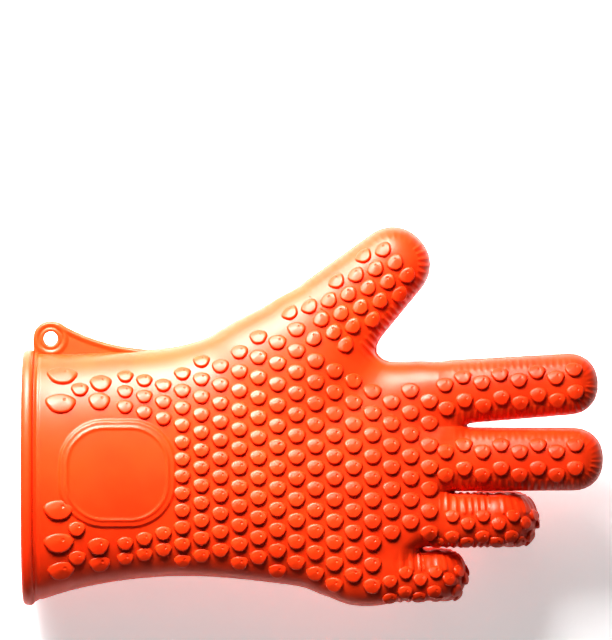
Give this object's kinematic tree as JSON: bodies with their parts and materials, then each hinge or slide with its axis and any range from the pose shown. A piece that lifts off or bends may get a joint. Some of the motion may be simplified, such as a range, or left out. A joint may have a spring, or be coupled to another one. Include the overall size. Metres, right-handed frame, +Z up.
{
  "type": "heat resistant glove",
  "caption": "Orange silicone oven and grill glove for a right hand, with grip studs, a flared cuff and a hanging eye.",
  "frame": {"origin": "centre of the footprint on the surface that the glove lies on", "axes": "+X from the cuff towards the fingertips, +Y towards the thumb, +Z up out of the back of the hand"},
  "size_m": [0.2746, 0.1784, 0.0706],
  "materials": {
    "silicone": "satin moulded silicone"
  },
  "bodies": {
    "gauntlet": {"gauntlet_sleeve": "silicone", "cuff_rim": "silicone", "hang_tab": "silicone"},
    "hand": {"hand_shell": "silicone", "wrist_flex": "silicone", "index_base_flex": "silicone", "middle_base_flex": "silicone", "ring_base_flex": "silicone", "little_base_flex": "silicone", "thumb_base_flex": "silicone"},
    "index_base_length": {"index_base_length": "silicone", "index_middle_flex": "silicone"},
    "index_middle_length": {"index_middle_length": "silicone", "index_end_flex": "silicone"},
    "index_fingertip": {"index_fingertip": "silicone"},
    "middle_base_length": {"middle_base_length": "silicone", "middle_middle_flex": "silicone"},
    "middle_middle_length": {"middle_middle_length": "silicone", "middle_end_flex": "silicone"},
    "middle_fingertip": {"middle_fingertip": "silicone"},
    "ring_base_length": {"ring_base_length": "silicone", "ring_middle_flex": "silicone"},
    "ring_middle_length": {"ring_middle_length": "silicone", "ring_end_flex": "silicone"},
    "ring_fingertip": {"ring_fingertip": "silicone"},
    "little_base_length": {"little_base_length": "silicone", "little_middle_flex": "silicone"},
    "little_middle_length": {"little_middle_length": "silicone", "little_end_flex": "silicone"},
    "little_fingertip": {"little_fingertip": "silicone"},
    "thumb_base_length": {"thumb_base_length": "silicone", "thumb_end_flex": "silicone"},
    "thumb_tip": {"thumb_tip": "silicone"}
  },
  "joints": [
    {"name": "wrist_bend", "type": "hinge", "parent": "gauntlet", "child": "hand", "pos_m": [-0.05391, -0.02139, 0.04007], "axis": [0, 1, 0], "range_deg": [-25, 25], "stiffness_Nm_per_rad": 3, "deforming": ["wrist_flex"]},
    {"name": "index_base_bend", "type": "hinge", "parent": "hand", "child": "index_base_length", "pos_m": [0.07153, 0.01173, 0.04591], "axis": [-0.0694, 0.9976, -0.0071], "range_deg": [-12, 50], "stiffness_Nm_per_rad": 1.2, "deforming": ["index_base_flex"]},
    {"name": "index_middle_bend", "type": "hinge", "parent": "index_base_length", "child": "index_middle_length", "pos_m": [0.09138, 0.01312, 0.04795], "axis": [-0.0694, 0.9976, -0.0071], "range_deg": [0, 85], "stiffness_Nm_per_rad": 0.8, "deforming": ["index_middle_flex"]},
    {"name": "index_end_bend", "type": "hinge", "parent": "index_middle_length", "child": "index_fingertip", "pos_m": [0.1142, 0.01473, 0.05029], "axis": [-0.0694, 0.9976, -0.0071], "range_deg": [0, 62], "deforming": ["index_end_flex"]},
    {"name": "middle_base_bend", "type": "hinge", "parent": "hand", "child": "middle_base_length", "pos_m": [0.07154, -0.02009, 0.04591], "axis": [0, 1, 0], "range_deg": [-12, 50], "stiffness_Nm_per_rad": 1.2, "deforming": ["middle_base_flex"]},
    {"name": "middle_middle_bend", "type": "hinge", "parent": "middle_base_length", "child": "middle_middle_length", "pos_m": [0.09243, -0.02009, 0.04806], "axis": [0, 1, 0], "range_deg": [0, 85], "stiffness_Nm_per_rad": 0.8, "deforming": ["middle_middle_flex"]},
    {"name": "middle_end_bend", "type": "hinge", "parent": "middle_middle_length", "child": "middle_fingertip", "pos_m": [0.11631, -0.02009, 0.05051], "axis": [0, 1, 0], "range_deg": [0, 62], "deforming": ["middle_end_flex"]},
    {"name": "ring_base_bend", "type": "hinge", "parent": "hand", "child": "ring_base_length", "pos_m": [0.06757, -0.04869, 0.0455], "axis": [0, 1, 0], "range_deg": [-20, 30], "stiffness_Nm_per_rad": 1.2, "deforming": ["ring_base_flex"]},
    {"name": "ring_middle_bend", "type": "hinge", "parent": "ring_base_length", "child": "ring_middle_length", "pos_m": [0.09005, -0.04869, 0.04466], "axis": [0, 1, 0], "range_deg": [-90, 4], "stiffness_Nm_per_rad": 0.8, "deforming": ["ring_middle_flex"]},
    {"name": "ring_end_bend", "type": "hinge", "parent": "ring_middle_length", "child": "ring_fingertip", "pos_m": [0.08921, -0.04869, 0.02218], "axis": [0, 1, 0], "range_deg": [-60, 8], "deforming": ["ring_end_flex"]},
    {"name": "little_base_bend", "type": "hinge", "parent": "hand", "child": "little_base_length", "pos_m": [0.04429, -0.07509, 0.04312], "axis": [0, 1, 0], "range_deg": [-20, 30], "stiffness_Nm_per_rad": 1.2, "deforming": ["little_base_flex"]},
    {"name": "little_middle_bend", "type": "hinge", "parent": "little_base_length", "child": "little_middle_length", "pos_m": [0.05761, -0.07509, 0.04168], "axis": [0, 1, 0], "range_deg": [-90, 4], "stiffness_Nm_per_rad": 0.8, "deforming": ["little_middle_flex"]},
    {"name": "little_end_bend", "type": "hinge", "parent": "little_middle_length", "child": "little_fingertip", "pos_m": [0.05558, -0.07509, 0.02279], "axis": [0, 1, 0], "range_deg": [-60, 8], "deforming": ["little_end_flex"]},
    {"name": "thumb_base_bend", "type": "hinge", "parent": "hand", "child": "thumb_base_length", "pos_m": [0.01572, 0.0492, 0.04018], "axis": [-0.6784, 0.7314, -0.0696], "range_deg": [-10, 35], "stiffness_Nm_per_rad": 1.68, "deforming": ["thumb_base_flex"]},
    {"name": "thumb_end_bend", "type": "hinge", "parent": "thumb_base_length", "child": "thumb_tip", "pos_m": [0.031, 0.06352, 0.04175], "axis": [-0.6784, 0.7314, -0.0696], "range_deg": [-5, 55], "stiffness_Nm_per_rad": 1.12, "deforming": ["thumb_end_flex"]}
  ],
  "couplings": [
    {"joint": "index_end_bend", "follows": "index_middle_bend", "ratio": 0.6},
    {"joint": "middle_end_bend", "follows": "middle_middle_bend", "ratio": 0.6},
    {"joint": "ring_end_bend", "follows": "ring_middle_bend", "ratio": 0.5},
    {"joint": "little_end_bend", "follows": "little_middle_bend", "ratio": 0.5}
  ]
}
